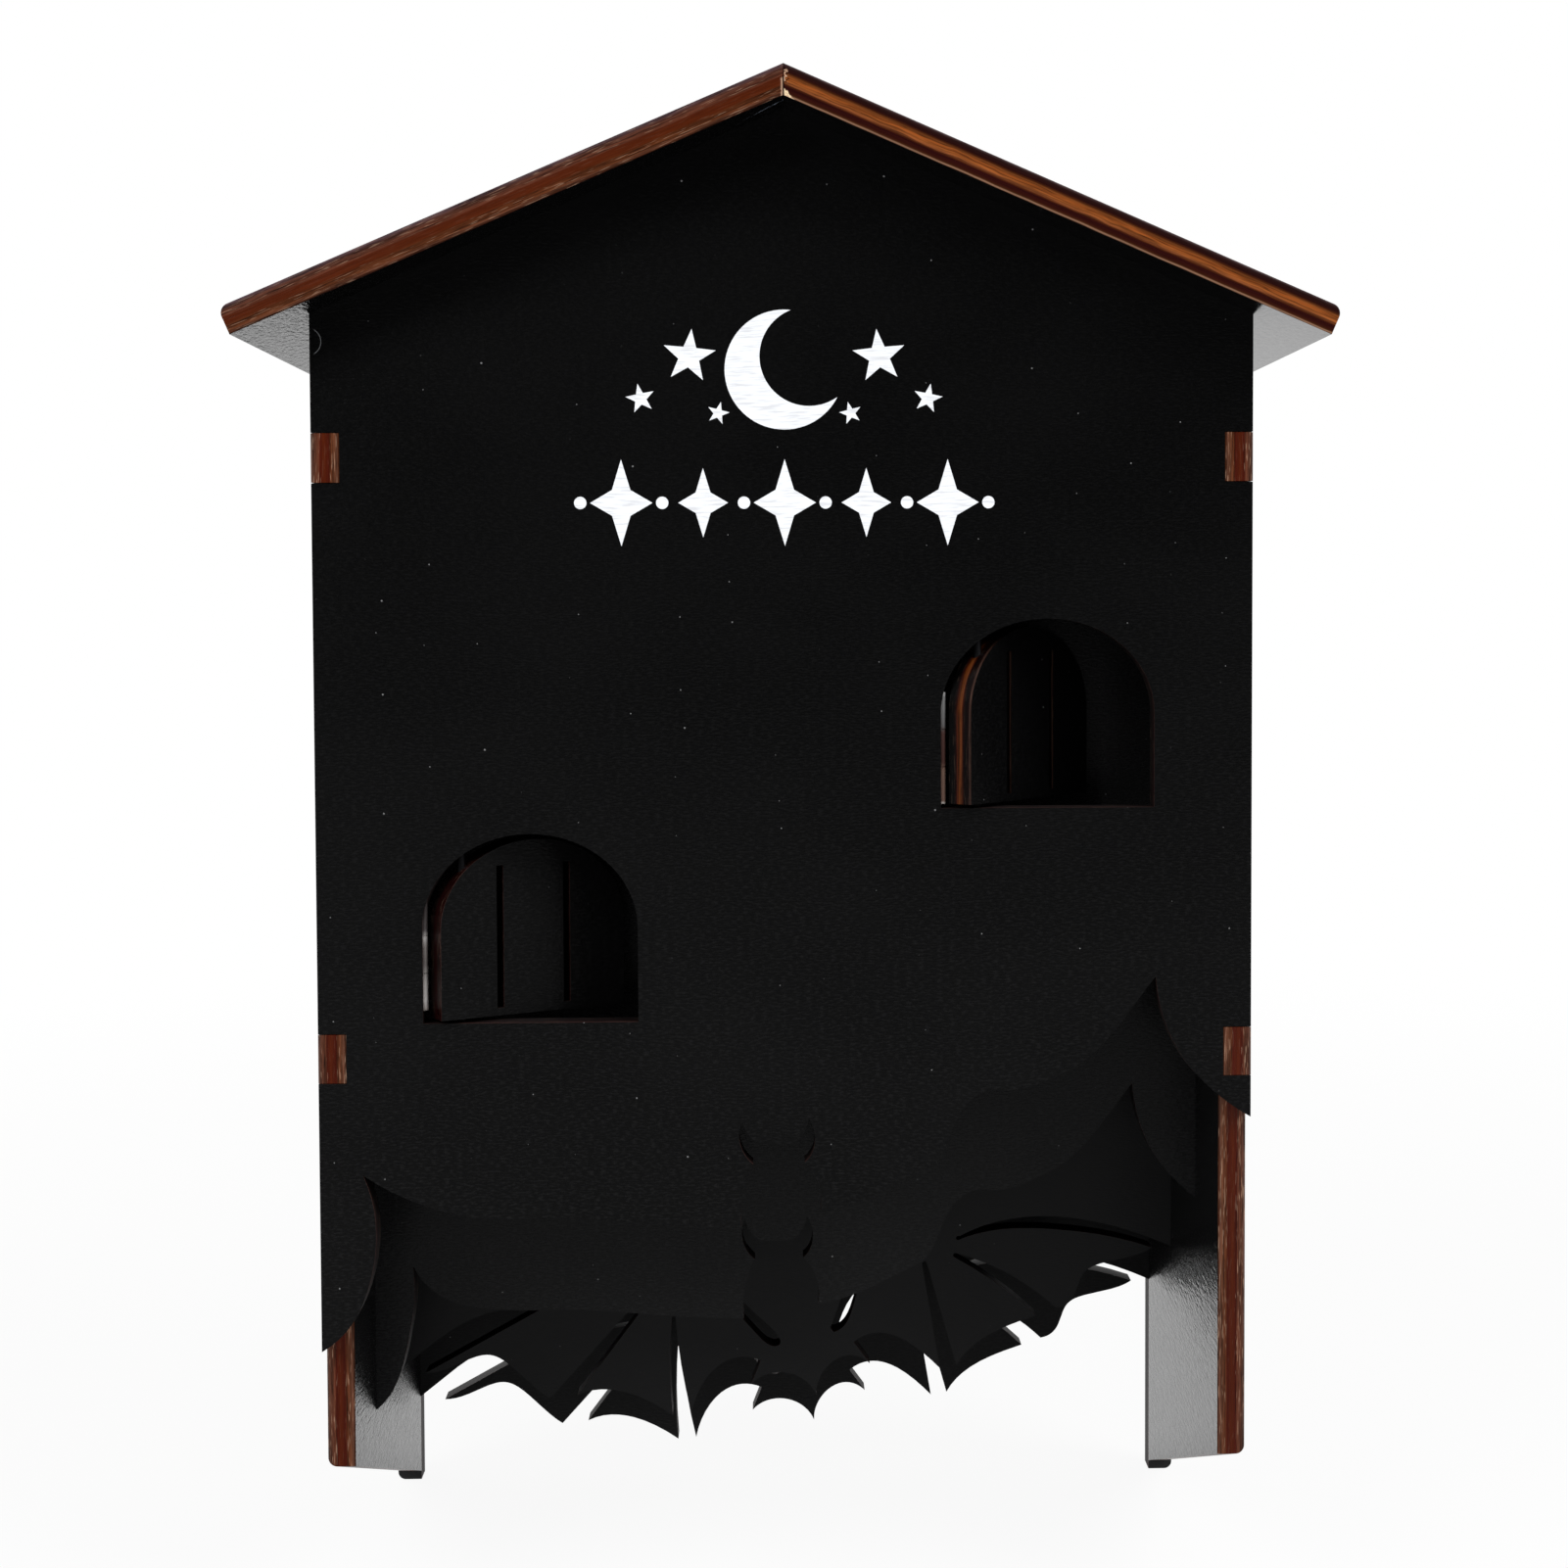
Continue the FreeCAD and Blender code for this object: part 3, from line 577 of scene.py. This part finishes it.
def finish_board(name, plies, rows=1.0, pebbling=0.16, pebble=(1500, 800), painted_lift=0.0,
                 wavy=0.0004, outer_lines=0.9, middle_lines=0.25, pores=0.45,
                 dull=0.0, gloss=0.3, coat=0.0):
    """Give a CAD board its paint and its bare edges.

    dull is added to the roughness of the edges, gloss is the specular level of the whole
    board, and coat is the weight of clear lacquer over its paint.
    """
    finish = Finish(f"{name}_finish")
    x, y, z, face = set_out(finish, *PLACES[name])
    paint_colour, paint_roughness, paint_relief = paint(
        finish, x, y, z, rows, pebbling, pebble, painted_lift)
    edge_colour, edge_roughness, edge_relief = edge(
        finish, x, y, z, plies, wavy, outer_lines, middle_lines, pores)
    if "roof" in name:
        edge_colour = worn_seam(finish, edge_colour, x, y, chipped="right" in name)
    if name == "left_roof_board":
        # A painted highlight streak under the left roof board.
        paint_colour = highlight_under_roof(finish, paint_colour, x, y, z)
    if name == "front_panel":
        # A thin pale arc drawn on the front paint near the left eave.
        paint_colour = pale_arc(finish, paint_colour, x, y, z)
    if "door" in name:
        # Away from its hinge a door's edges are drawn in the dark slot colour, with the
        # plies kept faintly along the front arris.
        arris = (y / PLY).smooth(0.12, 0.06)
        shown = x.smooth(0.0075, 0.0015).highest(arris * 0.7)
        edge_colour = finish.blend(shown, SLOT_DARK, edge_colour)
    colour = finish.blend(face, edge_colour, paint_colour)
    edge_roughness = edge_roughness + dull
    roughness = edge_roughness + (paint_roughness - edge_roughness) * face
    relief = edge_relief + (paint_relief - edge_relief) * face
    bump = finish.node("ShaderNodeBump", None, Strength=1.0, Distance=RELIEF_DEPTH,
                       Height=relief)
    finish.shine(Base_Color=colour, Roughness=roughness, Specular_IOR_Level=gloss,
                 Coat_Weight=face * coat if coat else 0.0, Coat_Roughness=0.12,
                 Normal=bump["Normal"])
    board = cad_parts[name]
    board.data.materials.clear()
    board.data.materials.append(finish.material)
    return finish.material


print("finish ready")

# %% Finish every board
ACROSS_ROOF = (1500, 380)
ALONG_SIDE = (300, 1300)
CUT_PANEL = {"plies": PANEL_PLIES, "outer_lines": 0.6, "pores": 0.10, "dull": 0.35}
SIDE = {"plies": CARCASS_PLIES, "rows": 0.7, "pebble": ALONG_SIDE}
BOARDS = {
    "front_panel": CUT_PANEL,
    # The lift on the baffles and the back panel is painted light that makes them read
    # brighter.
    "front_baffle": {**CUT_PANEL, "painted_lift": 0.50},
    "rear_baffle": {**CUT_PANEL, "gloss": 0.22, "painted_lift": 1.00},
    "back_panel": {**CUT_PANEL, "gloss": 0.18, "painted_lift": 0.75},
    "left_side": {**SIDE, "gloss": 0.2, "pebbling": 3.0},
    "right_side": {**SIDE, "pebbling": 2.4},
    "left_roof_board": {
        "plies": LEFT_ROOF_PLIES, "wavy": 0.0005, "pores": 0.28, "gloss": 0.25,
        "rows": 0.1, "pebbling": 5.5, "pebble": ACROSS_ROOF},
    "right_roof_board": {
        "plies": RIGHT_ROOF_PLIES, "wavy": 0.0012, "outer_lines": 0.25,
        "middle_lines": 0.9, "pores": 0.0, "coat": 0.35,
        "rows": 0.2, "pebbling": 0.8, "pebble": ACROSS_ROOF},
    "left_door": {"plies": LEFT_DOOR_PLIES, "pores": 0.1},
    "right_door": {"plies": RIGHT_DOOR_PLIES, "middle_lines": 1.2, "pores": 0.04},
}
for name, choices in BOARDS.items():
    made = finish_board(name, **choices)
    print(made.name, "has", len(made.node_tree.nodes), "nodes")

# %% [markdown]
# ## Steel pins
#
# Only the middle of a pin ever shows, in the gap round a door. It is drawn wire with a
# black oxide on it: metallic and dark, with fine rings across it.

# %% Steel
OXIDE_DARK = (0.022, 0.022, 0.024, 1)
OXIDE_PALE = (0.038, 0.038, 0.041, 1)
steel = Finish("pin_steel")
wire = steel.node("ShaderNodeTexCoord")["Object"]
wire_z = steel.node("ShaderNodeSeparateXYZ", None, wire)["Z"]
rings = steel.noise(stretched(steel, 0.0, 0.0, wire_z * 4000), 1.0)
oxide = steel.blend(rings, OXIDE_DARK, OXIDE_PALE)
steel.shine(Metallic=1.0, Roughness=0.38 + rings * 0.14, Base_Color=oxide)
for name in ("left_door_pins", "right_door_pins"):
    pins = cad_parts[name]
    pins.data.materials.clear()
    pins.data.materials.append(steel.material)
print("pins finished")

# %% [markdown]
# ## Hinge knuckles
#
# Against the hinge-side jamb of each doorway stands the barrel of a small hinge: three
# knuckles on one wire, an inch long in all, on a thin leaf along the jamb. It is turned
# as on a lathe: a round face is drawn up in steps, and each step sets the radius at the
# next height, so that the joints between the knuckles become real grooves. The steel's
# colour along the height is painted light, held by a colour ramp: painted highlights
# where it is bright, painted reflections of the brown door edges, and painted shade on
# the dark top of the left barrel.

# %% Turned barrel
KNUCKLE = 0.00855
BARREL_RADIUS = 0.00058
BARREL_BACK = 0.0010
PRESSED_IN = 0.00005
ROUNDING = 0.00015
JOINT = 0.00002
GROOVE = 0.55


def barrel_steps():
    """Height and share of the full radius, from the foot of a barrel to its top."""
    steps = []
    for number in range(3):
        foot = number * KNUCKLE
        steps += [(foot, GROOVE), (foot + ROUNDING, 1.0)]
        steps += [(foot + KNUCKLE - ROUNDING, 1.0), (foot + KNUCKLE - JOINT, GROOVE)]
    return steps


def turned_barrel(name, jamb, foot):
    """Barrel of three knuckles against a jamb, standing on a height."""
    centre = (jamb + BARREL_RADIUS - PRESSED_IN, FRONT + BARREL_BACK, foot)
    steps = barrel_steps()
    bpy.ops.mesh.primitive_circle_add(vertices=32, radius=BARREL_RADIUS * GROOVE,
                                      fill_type="NGON", location=centre)
    barrel = bpy.context.object
    barrel.name = name
    bpy.ops.object.transform_apply(location=True, rotation=True, scale=True)
    bpy.ops.object.mode_set(mode="EDIT")
    bpy.ops.mesh.select_all(action="SELECT")
    for (low, narrow), (high, wide) in zip(steps, steps[1:]):
        rise = {"value": (0, 0, high - low)}
        bpy.ops.mesh.extrude_region_move(TRANSFORM_OT_translate=rise)
        share = wide / narrow
        bpy.ops.transform.resize(value=(share, share, 1), center_override=centre)
    bpy.ops.mesh.select_all(action="SELECT")
    bpy.ops.mesh.normals_make_consistent(inside=False)
    bpy.ops.object.mode_set(mode="OBJECT")
    bpy.ops.object.shade_smooth_by_angle(angle=math.radians(30))
    return barrel


print("barrel of three knuckles,", 3 * KNUCKLE * 1000, "mm")

# %% Thin leaf
LEAF_DEPTH = 0.0052
LEAF_THICKNESS = 0.00025
LEAF_BACK = 0.0003


def leaf(name, jamb, foot):
    """Thin plate that lies along the jamb behind a barrel."""
    size = (LEAF_THICKNESS, LEAF_DEPTH, 3 * KNUCKLE)
    middle = (jamb + LEAF_THICKNESS / 2, FRONT + LEAF_BACK + LEAF_DEPTH / 2,
              foot + 1.5 * KNUCKLE)
    bpy.ops.mesh.primitive_cube_add(size=1, location=middle, scale=size)
    plate = bpy.context.object
    plate.name = name
    bpy.ops.object.transform_apply(location=True, rotation=True, scale=True)
    rounding = plate.modifiers.new("rounding", "BEVEL")
    rounding.width = LEAF_THICKNESS * 0.3
    rounding.segments = 2
    bpy.ops.object.modifier_apply(modifier=rounding.name)
    return plate


print("leaf", LEAF_THICKNESS * 1000, "mm thick")


# %% Steel with painted light along its height
def knuckle_steel(side, painted_light_ramp, foot):
    """Steel whose colour follows the height over the foot of the barrel, as painted light.
    """
    bright = Finish(f"{side}_hinge_steel")
    place = bright.node("ShaderNodeTexCoord")["Object"]
    height = bright.node("ShaderNodeSeparateXYZ", None, place)["Z"]
    share = (height - foot) / (3 * KNUCKLE)
    steel_noise = bright.noise(place, 2300.0, detail=2.0)
    ramp = {"stops": painted_light_ramp}
    # The ramp paints light on the steel: painted highlights where it is bright, painted
    # reflections of the brown door edges, painted shade on the top of the left barrel.
    base = bright.node("ShaderNodeValToRGB", ramp, share + (steel_noise - 0.5) * 0.06)["Color"]
    bright.shine(Metallic=0.8, Roughness=0.36 + steel_noise * 0.12, Base_Color=base)
    return bright.material


print("hinge steel ready")

# %% A barrel and a leaf at each doorway
HINGES = {
    # jamb, foot of the barrel, colours of painted light from its foot to its top
    "left": (-0.08285, -0.1798, (
        (0.00, (0.50, 0.45, 0.42)), (0.10, (0.95, 0.92, 0.90)), (0.24, (0.80, 0.76, 0.73)),
        (0.42, (0.30, 0.27, 0.26)), (0.56, (0.42, 0.38, 0.36)), (0.65, (0.85, 0.82, 0.80)),
        (0.72, (0.16, 0.14, 0.14)), (1.00, (0.08, 0.07, 0.07)))),
    "right": (0.03535, -0.1333, (
        (0.00, (0.90, 0.85, 0.80)), (0.03, (0.30, 0.18, 0.14)), (0.30, (0.34, 0.21, 0.16)),
        (0.38, (0.13, 0.06, 0.05)), (0.64, (0.16, 0.08, 0.07)), (0.70, (0.28, 0.27, 0.27)),
        (0.96, (0.44, 0.44, 0.44)), (1.00, (0.95, 0.95, 0.95)))),
}
for side, (jamb, foot, painted_light_ramp) in HINGES.items():
    metal = knuckle_steel(side, painted_light_ramp, foot)
    for piece in (turned_barrel(f"{side}_hinge_barrel", jamb, foot),
                  leaf(f"{side}_hinge_leaf", jamb, foot)):
        piece.data.materials.append(metal)
        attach(piece, "box")
        piece.select_set(False)
print("hinges ready")

# %% [markdown]
# ## White printed ornament
#
# The front carries a flat white print, well under a millimetre thick, with the grain of
# the board showing through it as thin lines. A plain night sky suits the object: a
# crescent moon with stars above, and a row of long four-pointed stars with dots below.
# Each shape starts as a flat polygon, is pulled into shape by its corners, and gets its
# thickness from an extrusion. Repeated shapes are modelled once and copied.

# %% Tools for flat shapes
PRINT = 0.00012
PRINT_BACK = FRONT + 0.00002


def flat_polygon(corners, radius, width=1.0):
    """Upright polygon facing the front, with one corner at the top, in edit mode."""
    bpy.ops.mesh.primitive_circle_add(vertices=corners, radius=radius, fill_type="NGON",
                                      rotation=(math.radians(90), 0, 0))
    bpy.ops.object.transform_apply(location=False, rotation=True, scale=False)
    shape = bpy.context.object
    top = max(shape.data.vertices, key=lambda corner: corner.co.z)
    lean = math.atan2(top.co.x, top.co.z)
    bpy.ops.object.mode_set(mode="EDIT")
    bpy.ops.mesh.select_all(action="SELECT")
    if abs(lean) > 1e-5:
        bpy.ops.transform.rotate(value=lean, orient_axis="Y", center_override=(0, 0, 0))
    bpy.ops.transform.resize(value=(width, 1, 1), center_override=(0, 0, 0))
    return shape


def leave_edit(shape):
    """Out of edit mode with everything deselected in the object."""
    bpy.ops.object.mode_set(mode="OBJECT")
    for group in (shape.data.polygons, shape.data.edges, shape.data.vertices):
        for item in group:
            item.select = False


def star(name, points, radius, waist, width=1.0):
    """Star with its inner corners drawn in to waist, a share of the radius."""
    shape = flat_polygon(2 * points, radius, width)
    shape.name = name
    leave_edit(shape)
    for corner in shape.data.vertices:
        turn = math.atan2(corner.co.x / width, corner.co.z) / (math.pi / points)
        corner.select = round(turn) % 2 == 1
    bpy.ops.object.mode_set(mode="EDIT")
    bpy.ops.transform.resize(value=(waist, 1, waist), center_override=(0, 0, 0))
    return thicken(shape)


def thicken(shape):
    """Give a flat shape the thickness of the print, from its place in edit mode."""
    bpy.ops.mesh.select_all(action="SELECT")
    bpy.ops.mesh.extrude_region_move(TRANSFORM_OT_translate={"value": (0, -PRINT, 0)})
    bpy.ops.mesh.select_all(action="SELECT")
    bpy.ops.mesh.normals_make_consistent(inside=False)
    leave_edit(shape)
    return shape


print("print", PRINT * 1000, "mm thick")


# %% Crescent moon
def disc(radius, across, height):
    """Round flat disc with a thickness, centred at a place on the front."""
    shape = flat_polygon(72, radius)
    bpy.ops.mesh.select_all(action="SELECT")
    bpy.ops.transform.translate(value=(across, 0, height))
    return thicken(shape)


def crescent(name, radius, bite_radius, bite):
    """Disc with a smaller disc bitten out of it by a Boolean."""
    moon = disc(radius, 0, 0)
    moon.name = name
    tooth = disc(bite_radius, *bite)
    bpy.ops.object.select_all(action="DESELECT")
    tooth.scale = (1, 3, 1)
    tooth.location = (0, PRINT, 0)
    bpy.context.view_layer.objects.active = moon
    cut = moon.modifiers.new("bite", "BOOLEAN")
    cut.operation = "DIFFERENCE"
    cut.solver = "EXACT"
    cut.object = tooth
    bpy.ops.object.modifier_apply(modifier=cut.name)
    bpy.data.objects.remove(tooth)
    return moon


def put(shape, across, height, turn=0.0):
    """Set a flat shape on the front panel and leave its place in its mesh."""
    shape.rotation_euler = (0, turn, 0)
    shape.location = (across, PRINT_BACK, height)
    bpy.ops.object.select_all(action="DESELECT")
    shape.select_set(True)
    bpy.context.view_layer.objects.active = shape
    bpy.ops.object.transform_apply(location=True, rotation=True, scale=True)
    shape.select_set(False)
    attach(shape, "box")
    return shape


MOON_HEIGHT = -0.0345
MOON_RADIUS = 0.0135
BITE_RADIUS = 0.0112
BITE = (0.0056, 0.0030)
moon = put(crescent("print_moon", MOON_RADIUS, BITE_RADIUS, BITE), 0, MOON_HEIGHT)
print("moon has", len(moon.data.vertices), "corners")


# %% Stars beside the moon
def copied(shape, name):
    """Copy of a shape with a mesh of its own."""
    twin = shape.copy()
    twin.data = shape.data.copy()
    twin.name = name
    bpy.context.collection.objects.link(twin)
    return twin


def scaled(shape, size):
    shape.scale = (size, 1, size)
    return shape


SKY = (
    # across, height above the moon's middle, size, turn
    (-0.0215, 0.0030, 1.00, 0.10),
    (0.0215, 0.0030, 1.00, -0.10),
    (-0.0325, -0.0065, 0.55, -0.20),
    (0.0325, -0.0065, 0.55, 0.20),
    (-0.0150, -0.0098, 0.42, 0.25),
    (0.0150, -0.0098, 0.42, -0.25),
)
pattern_star = star("pattern_star", 5, 0.0062, 0.40)
printed = [moon]
for number, (across, above, size, turn) in enumerate(SKY, start=1):
    twin = scaled(copied(pattern_star, f"print_star_{number}"), size)
    printed.append(put(twin, across, MOON_HEIGHT + above, turn))
bpy.data.objects.remove(pattern_star)
print(len(SKY), "stars beside the moon")

# %% Row of long stars with dots between them
ROW_HEIGHT = -0.0645
ROW_STEP = 0.0185
pattern_spark = star("pattern_spark", 4, 0.0098, 0.42, width=0.72)
pattern_dot = disc(0.0014, 0, 0)
for place in range(-2, 3):
    size = 1.0 if place % 2 == 0 else 0.8
    twin = scaled(copied(pattern_spark, f"print_spark_{place + 3}"), size)
    printed.append(put(twin, place * ROW_STEP, ROW_HEIGHT))
for number, place in enumerate((-2.5, -1.5, -0.5, 0.5, 1.5, 2.5), start=1):
    twin = copied(pattern_dot, f"print_dot_{number}")
    printed.append(put(twin, place * ROW_STEP, ROW_HEIGHT))
for pattern in (pattern_spark, pattern_dot):
    bpy.data.objects.remove(pattern)
print(len(printed), "printed shapes")

# %% [markdown]
# ## White ink on grain
#
# The ink is a flat white that sinks between the rows of the grain, so thin darker lines
# run across it. A squeezed and bent noise like the one under the paint draws them, and
# the ink thins out in small flecks.

# %% Ink
INK_WHITE = (0.82, 0.845, 0.88, 1)
INK_THIN = (0.50, 0.50, 0.53, 1)
INK_DEPTH = 0.00006
ink = Finish("white_ink")
ink_x, ink_y, ink_z, _ = set_out(ink, *PLACES["front_panel"])
ink_slow = ink.noise(stretched(ink, ink_x * 14, ink_y * 14, ink_z * 22), 1.0)
ink_wander = stretched(ink, ink_x * 160, 0.0, ink_z * 2100 + ink_slow * 16)
ink_rows = ink.noise(ink_wander, 1.0, 2.0)
thin = ink_rows.smooth(0.50, 0.36)
ink_colour = ink.blend(thin * 0.5, INK_WHITE, INK_THIN)
ink_bump = ink.node("ShaderNodeBump", None, Strength=1.0, Distance=INK_DEPTH,
                    Height=ink_rows)
ink.shine(Base_Color=ink_colour, Roughness=0.5 + thin * 0.2, Normal=ink_bump["Normal"])
for shape in printed:
    shape.data.materials.clear()
    shape.data.materials.append(ink.material)
print("ink on", len(printed), "shapes")

# %% [markdown]
# ## Floor, light and camera
#
# The box is shown against white, from about a third of the way down its front, so the
# eaves are seen from below. A black satin object shows its surroundings more than its
# colour: the faces that look back at the camera must mirror a dim room, and the faces
# seen at a glancing angle must mirror the white behind. So floor and world are white for
# the camera, and in reflections they are bright behind the box and dim in front of it.
# Light Path tells these rays apart, and leaves the light that falls on the colours at a
# plain level.

# %% Pale floor
UNDER_FEET = 0.0006
FLOOR = cad_low.z - UNDER_FEET
FLOOR_DIM = 0.16
NEAR_WHITE = 0.92
bpy.ops.mesh.primitive_circle_add(vertices=96, radius=4.0, fill_type="NGON",
                                  location=(0, 0, FLOOR))
floor = bpy.context.object
floor.name = "floor"
pale = Finish("pale_floor")
spread = pale.node("ShaderNodeTexCoord")["Object"]
away = pale.node("ShaderNodeVectorMath", {"operation": "LENGTH"}, spread)["Value"]
ray = pale.node("ShaderNodeLightPath")
floor_behind = pale.node("ShaderNodeSeparateXYZ", None, spread)["Y"].smooth(-0.08, 0.03)
mirrored = floor_behind * (1.0 - FLOOR_DIM) + FLOOR_DIM
seen = ray["Is Camera Ray"]
level = mirrored + seen * (1.0 - mirrored)
shade = pale.blend(level, (0, 0, 0, 1), (1, 1, 1, 1))
glow = pale.node("ShaderNodeEmission", None, Color=shade, Strength=1.0)["Emission"]
pale.shine(Base_Color=(0.82, 0.82, 0.82, 1), Roughness=0.9)
plain = Flow(pale, pale.shader.outputs["BSDF"])
whitened = away.smooth(0.3, 1.0) * (1.0 - NEAR_WHITE) + NEAR_WHITE
share = ray["Is Glossy Ray"].highest(seen * whitened)
mixed = pale.node("ShaderNodeMixShader", None, share, plain, glow)["Shader"]
pale.feed(pale.tree.nodes["Material Output"].inputs["Surface"], mixed)
pale.material.cycles.emission_sampling = "NONE"
floor.data.materials.append(pale.material)
print(f"floor at z = {FLOOR * 1000:.1f} mm")

# %% World: white to the camera, and bright only behind the box in reflections
ROOM_DIM = 0.02
LEFT_BRIGHTER = 0.30
AMBIENT = 0.45
world = bpy.data.worlds.new("white_room")
bpy.context.scene.world = world
world.use_nodes = True
room = Mixing(world.node_tree)
heading = room.node("ShaderNodeTexCoord")["Generated"]
direction = room.node("ShaderNodeSeparateXYZ", None, heading)
behind = direction["Y"].smooth(-0.15, 0.35)
to_the_left = direction["X"].smooth(0.25, -0.25)
mirrored = behind * (to_the_left * LEFT_BRIGHTER + 1.0) + ROOM_DIM
ray = room.node("ShaderNodeLightPath")
level = ray["Is Glossy Ray"] * (mirrored - AMBIENT) + AMBIENT
level = level + ray["Is Camera Ray"] * (1.0 - level)
sky = room.tree.nodes["Background"]
room.feed(sky.inputs["Color"], (1, 1, 1, 1))
room.feed(sky.inputs["Strength"], level)
world.cycles.sampling_method = "NONE"
print("world made")


# %% Soft lamps
def lamp(name, place, size, power):
    """Square soft lamp that faces the middle of the box."""
    bpy.ops.object.light_add(type="AREA", location=place)
    made = bpy.context.object
    made.name = name
    made.data.size = size
    made.data.energy = power
    aim = Vector((0, FRONT / 2, -0.12)) - Vector(place)
    made.rotation_euler = aim.to_track_quat("-Z", "Y").to_euler()
    return made


lamp("left_softbox", (-0.95, -1.1, 0.85), 0.9, 16.0)
lamp("right_softbox", (1.1, -0.8, 0.95), 0.9, 19.0)
print("two soft lamps")

# %% Camera
CAMERA_PLACE = (-0.00335, -0.67064, -0.08709)
CAMERA_TURN = (87.610, 0.198, -1.788)
bpy.ops.object.camera_add(location=CAMERA_PLACE)
camera = bpy.context.object
camera.rotation_euler = [math.radians(angle) for angle in CAMERA_TURN]
camera.data.sensor_width = 36.0
camera.data.lens = 55.97
camera.data.shift_x = -0.03997
camera.data.shift_y = -0.05112
camera.data.clip_start = 0.05
camera.data.clip_end = 20.0
bpy.context.scene.camera = camera
bpy.context.scene.view_settings.view_transform = "Standard"
print("camera", camera.data.lens, "mm")
